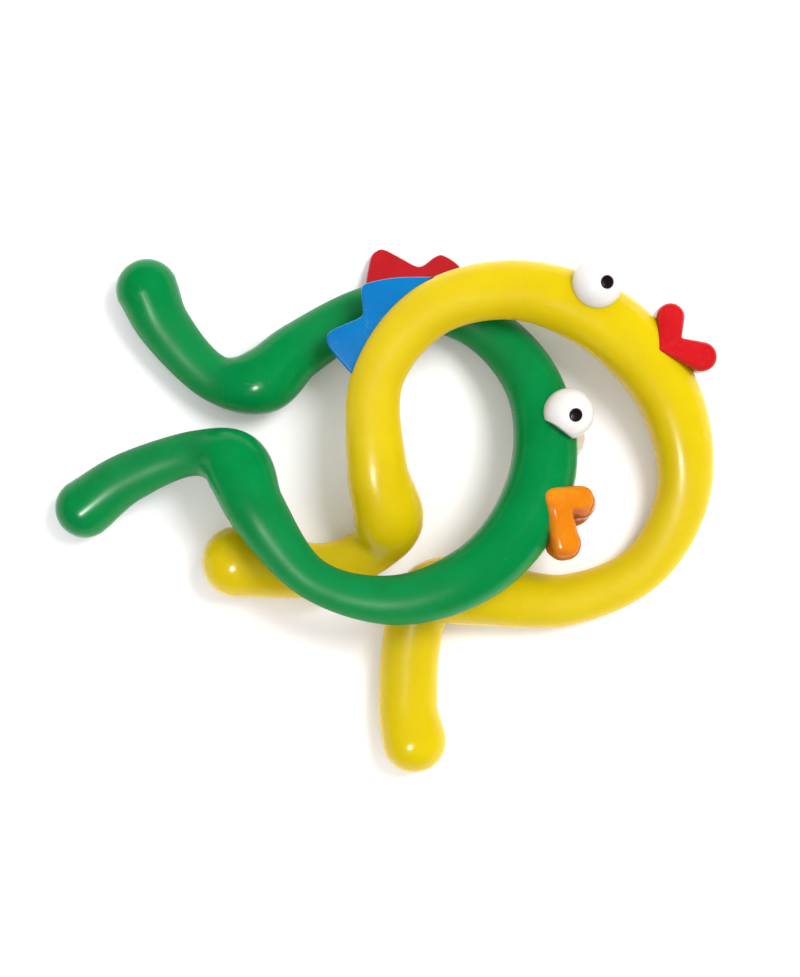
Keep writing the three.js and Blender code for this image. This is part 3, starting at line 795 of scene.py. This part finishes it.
def pupil_outline():
    dome = EYE_RADIUS + PUPIL_STAND
    low = EYE_RADIUS - PUPIL_FOOT
    shoulder = math.sqrt(EYE_RADIUS ** 2 - PUPIL_RADIUS ** 2) + 0.12
    outline = [(0, low), (PUPIL_RADIUS * 0.6, low), (PUPIL_RADIUS, low), (PUPIL_RADIUS, shoulder)]
    for turn in np.radians([22, 45, 68]):
        outline.append((PUPIL_RADIUS - PUPIL_EDGE * (1 - math.cos(turn)),
                        shoulder + PUPIL_EDGE * math.sin(turn)))
    crown = shoulder + PUPIL_EDGE
    for share in np.linspace(0.86, 0.06, 10):
        radius = PUPIL_RADIUS * share
        outline.append((radius, crown + (dome - crown) * (1 - (share / 0.88) ** 2)))
    return [*outline, (0, dome)]


def level(section):
    """Out, forward and up at a section, turned to stand square to the creature's plane."""
    up = section["normal"]
    out = unit(section["out"] - up * (section["out"] @ up))
    return np.array([out, -np.cross(out, up), up])


def cut_flat(obj, place, away):
    """Cuts the side of a piece off along a plane and closes it."""
    shape = bmesh.new()
    shape.from_mesh(obj.data)
    everything = [*shape.verts, *shape.edges, *shape.faces]
    cut = bmesh.ops.bisect_plane(shape, geom=everything, plane_co=place * MM, plane_no=away,
                                 clear_outer=True, dist=1e-7)
    rim = [e for e in cut["geom_cut"] if isinstance(e, bmesh.types.BMEdge)]
    bmesh.ops.contextual_create(shape, geom=rim)
    shape.to_mesh(obj.data)
    shape.free()
    finished(obj)


def eyes_of(figure):
    s = tubes[figure["name"]]
    head = nearest(figure, figure["eye_at"])
    square = level(head)
    for side, word in ((1, "front"), (-1, "back")):
        centre = head["point"] + np.array([figure["eye_out"], 0, side * EYE_STAND]) @ square
        gaze = unit(np.array(figure["gaze"]))
        if side < 0:
            gaze = gaze - 2 * s["normal"] * (gaze @ s["normal"])
        points, faces = turned(ball_outline(), centre, gaze, BALL_SIDES)
        name = f"{figure['name']}_{word}"
        ball = mesh_object(name + "_eyeball", seated(points, s), faces, eye_white)
        if figure["eye_cut"] and side > 0:
            out, ahead, up, distance = figure["eye_cut"]
            away = unit(np.array([out, -ahead, up]) @ square)
            cut_flat(ball, centre + away * distance, away)
        # Painted shade and warm reflected light, with some yellowing: the back of the ball, away
        # from the gaze, goes cream.
        facing_away = -unit(vertices_of(ball) - centre) @ gaze
        keep(ball, "shade_and_age", (facing_away - SHADE_AND_AGE_SPAN[0]) / (SHADE_AND_AGE_SPAN[1] - SHADE_AND_AGE_SPAN[0]))
        show(ball)
        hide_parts(name + "_eye")
        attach(ball, figure["name"] + "_figure")
        points, faces = turned(pupil_outline(), centre, gaze, PUPIL_SIDES)
        stud = mesh_object(name + "_pupil_stud", points, faces, pupil_black)
        show(stud)
        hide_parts(name + "_pupil")
        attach(stud, figure["name"] + "_figure")


eyes_of(YELLOW)
eyes_of(GREEN)

# %% [markdown]
# ## Lips
#
# Two fat rounded lobes share one root on the snout. Each lobe is the hull of a few upright
# posts, drawn in towards their ends to round the edges. The pair is then fused into one
# skin with a voxel remesh, which leaves a soft natural crotch between the lobes, and
# settles onto the tube. The orange pair is a rougher casting, with lumps.

# %% Lobes
POST_SIDES = 44
LIP_GRAIN = 0.2  # mm, the fineness of the fused skin
LUMP_SIZE = 4.2


def lobe(shape, posts, edge):
    """Adds the hull of rounded posts (x, y, radius, half of the height) to a bmesh."""
    corners = []
    angle = np.linspace(0, 2 * math.pi, POST_SIDES, endpoint=False)
    for x, y, radius, half in posts:
        for a in np.radians([0, 15, 30, 45, 60, 75, 90]):
            r = max(radius - edge * (1 - math.cos(a)), radius / 4)
            z = half - edge * (1 - math.sin(a))
            for sign in (1, -1):
                corners += [shape.verts.new((x + r * math.cos(t), y + r * math.sin(t), sign * z))
                            for t in angle]
    hull = bmesh.ops.convex_hull(shape, input=corners)
    spare = [v for v in hull["geom_interior"] if isinstance(v, bmesh.types.BMVert)]
    bmesh.ops.delete(shape, geom=spare, context="VERTS")


def lips_of(figure, edge, ease_steps, lumps, mat):
    s = tubes[figure["name"]]
    mouth = nearest(figure, figure["lips_at"])
    corner, crotch, near, far = figure["lips"]
    shape = bmesh.new()
    lobe(shape, (corner, crotch, near), edge)
    lobe(shape, (corner, crotch, far), edge)
    shape.verts.index_update()
    points = np.array([v.co for v in shape.verts])
    faces = [tuple(v.index for v in face.verts) for face in shape.faces]
    shape.free()
    points = points @ level(mouth) + mouth["point"]
    obj = mesh_object(figure["name"] + "_mouth", points, faces, mat)
    fuse = obj.modifiers.new("fuse", "REMESH")
    fuse.mode = "VOXEL"
    fuse.voxel_size = LIP_GRAIN * MM
    fuse.use_smooth_shade = True
    ease = obj.modifiers.new("ease", "SMOOTH")
    ease.factor = 0.5
    ease.iterations = ease_steps
    if lumps:
        cloud = bpy.data.textures.new("lumps", "CLOUDS")
        cloud.noise_scale = LUMP_SIZE * MM
        cloud.noise_depth = 0
        swell = obj.modifiers.new("lumps", "DISPLACE")
        swell.texture = cloud
        swell.mid_level = 0.5
        swell.strength = lumps * MM
    applied(obj)
    place = seated(vertices_of(obj), s)
    obj.data.vertices.foreach_set("co", (place * MM).ravel())
    finished(obj)
    # Painted shade: faces turning away from the creature's upper side take the darker tint.
    facing = np.array([v.normal for v in obj.data.vertices]) @ mouth["normal"]
    keep(obj, "shade_and_age", (0.7 - facing) / 0.8)
    show(obj)
    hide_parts(figure["name"] + "_lips")
    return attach(obj, figure["name"] + "_figure")


lips_of(YELLOW, 1.8, 8, 0, red_plastic)
lips_of(GREEN, 3.0, 40, 1.1, orange_plastic)

# %% [markdown]
# ## Crests
#
# A crest is a flat moulded plate with two soft peaks. Its outline runs smoothly over the
# peaks and comes back along the tube's side, a little under the skin. The edges are
# rounded by a bevel drawn inward from the outline, as the mould's own radius would be.

# %% Crest plates
CREST_EDGE = 0.75  # rounding of the crest's edges
CREST_STEP = 0.3  # mm between points of its outline
CREST_REACH = 32  # how far along the tube its root is looked for


def smooth_run(points, per_span):
    """Uniform Catmull-Rom through the points."""
    p = np.array(points, float)
    p = np.vstack([p[0], p, p[-1]])
    run = []
    for k in range(len(p) - 3):
        a, b, c, d = p[k:k + 4]
        for w in np.linspace(0, 1, per_span, endpoint=False):
            run.append(0.5 * (2 * b + (c - a) * w + (2 * a - 5 * b + 4 * c - d) * w ** 2
                              + (3 * b - a - 3 * c + d) * w ** 3))
    return np.vstack([run, p[-1]])


def evenly(points, step):
    """The same line with points at even steps."""
    run = np.concatenate([[0], np.cumsum(np.linalg.norm(np.diff(points, axis=0), axis=1))])
    at = np.linspace(0, run[-1], int(run[-1] / step) + 1)
    return np.column_stack([np.interp(at, run, points[:, k]) for k in range(points.shape[1])])


def crest_of(figure, mat):
    s = tubes[figure["name"]]
    back = nearest(figure, figure["crest_at"])
    origin = back["point"] + back["out"] * back["radius"]
    side = s["point"] + s["out"] * (s["radius"] - 2 * SEAT)[:, None] - origin
    close = np.linalg.norm(side, axis=1) < CREST_REACH
    root = np.column_stack([side[close] @ back["ahead"], side[close] @ back["out"]])
    top = evenly(smooth_run(figure["crest"], 12), CREST_STEP)
    top = top[top[:, 1] > np.interp(top[:, 0], root[:, 0], root[:, 1])]
    inside = (root[:, 0] > top[0, 0]) & (root[:, 0] < top[-1, 0])
    outline = np.vstack([top, evenly(root[inside], CREST_STEP)[::-1]])
    shape = bpy.data.curves.new(figure["name"] + "_fin", "CURVE")
    shape.dimensions = "2D"
    shape.fill_mode = "BOTH"
    shape.extrude = (CREST_THICKNESS / 2 - CREST_EDGE) * MM
    shape.bevel_depth = CREST_EDGE * MM
    shape.bevel_resolution = 5
    shape.offset = -CREST_EDGE * MM
    line = shape.splines.new("POLY")
    line.points.add(len(outline) - 1)
    line.points.foreach_set("co", np.column_stack([outline * MM, np.zeros(len(outline)),
                                                   np.ones(len(outline))]).ravel())
    line.use_cyclic_u = True
    drawn = bpy.data.objects.new("outline", shape)
    bpy.context.scene.collection.objects.link(drawn)
    bpy.context.view_layer.update()
    graph = bpy.context.evaluated_depsgraph_get()
    mesh = bpy.data.meshes.new_from_object(drawn.evaluated_get(graph))
    bpy.data.objects.remove(drawn)
    axes = Matrix([back["ahead"], back["out"], back["up"]]).transposed().to_4x4()
    mesh.transform(Matrix.Translation(origin * MM) @ axes)
    mesh.materials.clear()
    mesh.materials.append(mat)
    obj = bpy.data.objects.new(figure["name"] + "_fin", mesh)
    bpy.context.scene.collection.objects.link(obj)
    finished(obj)
    show(obj)
    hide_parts(figure["name"] + "_crest")
    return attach(obj, figure["name"] + "_figure")


crest_of(YELLOW, blue_plastic)
crest_of(GREEN, crest_red)

# %% [markdown]
# ## Table, light and camera
#
# The pair lies on a plain white table. A big soft lamp high on the right throws the soft
# shadow to the lower left, and is kept out of the gloss. The bright glints on the plastic
# come from a small lamp on the left, with a weak wide one beside it for their soft edges.
# The room's even white light fills the shadows. The camera looks straight down.

# %% White table
def table_finish():
    p = Paint("table white")
    soft = p.noise(40, 2, 0.5, 5)
    tone = p.blend(soft.ramp(0.3, 0.7), (0.92, 0.905, 0.93, 1), (0.93, 0.915, 0.94, 1))
    p.plug(p.shader.inputs["Base Color"], tone)
    p.shader.inputs["Roughness"].default_value = 0.9
    p.shader.inputs["Specular IOR Level"].default_value = 0.1
    return p.material


TABLE_HALF = 1500
corners = [(x * TABLE_HALF, y * TABLE_HALF, 0) for x, y in ((-1, -1), (1, -1), (1, 1), (-1, 1))]
table = mesh_object("table", corners, [(0, 1, 2, 3)], table_finish())


# %% Lamps and fill
def lamp(name, place, aim, size, power):
    light = bpy.data.lights.new(name, "AREA")
    light.shape = "DISK"
    light.size = size
    light.energy = power
    obj = bpy.data.objects.new(name, light)
    obj.location = place
    obj.rotation_euler = (Vector(aim) - Vector(place)).to_track_quat("-Z", "Y").to_euler()
    bpy.context.scene.collection.objects.link(obj)
    return obj


key = lamp("shadow lamp", (0.50, 0.36, 1.05), (0, 0, 0), 0.50, 11.0)
key.visible_glossy = False
glint = lamp("glint lamp", (-0.25, -0.37, 0.86), (0, 0, 0.01), 0.11, 11.0)
glint.visible_diffuse = False
sheen = lamp("sheen lamp", (-0.16, -0.28, 0.94), (0, 0, 0.01), 0.36, 2.4)
sheen.visible_diffuse = False

world = bpy.data.worlds.new("studio")
world.use_nodes = True
bpy.context.scene.world = world
world.node_tree.nodes["Background"].inputs["Color"].default_value = (1, 1, 1, 1)
world.node_tree.nodes["Background"].inputs["Strength"].default_value = 1.13
world.cycles_visibility.glossy = False

# %% Camera
CAMERA_HEIGHT = 0.7155
lens = bpy.data.cameras.new("camera")
lens.lens = 95.8
lens.sensor_width = 36
camera = bpy.data.objects.new("camera", lens)
camera.location = (0.00428, 0.00558, CAMERA_HEIGHT)
camera.rotation_euler = (0, 0, 0)
bpy.context.scene.collection.objects.link(camera)
bpy.context.scene.camera = camera
bpy.context.scene.view_settings.view_transform = "Standard"
bpy.context.scene.view_settings.look = "None"

# %% Last update of the scene
bpy.context.view_layer.update()
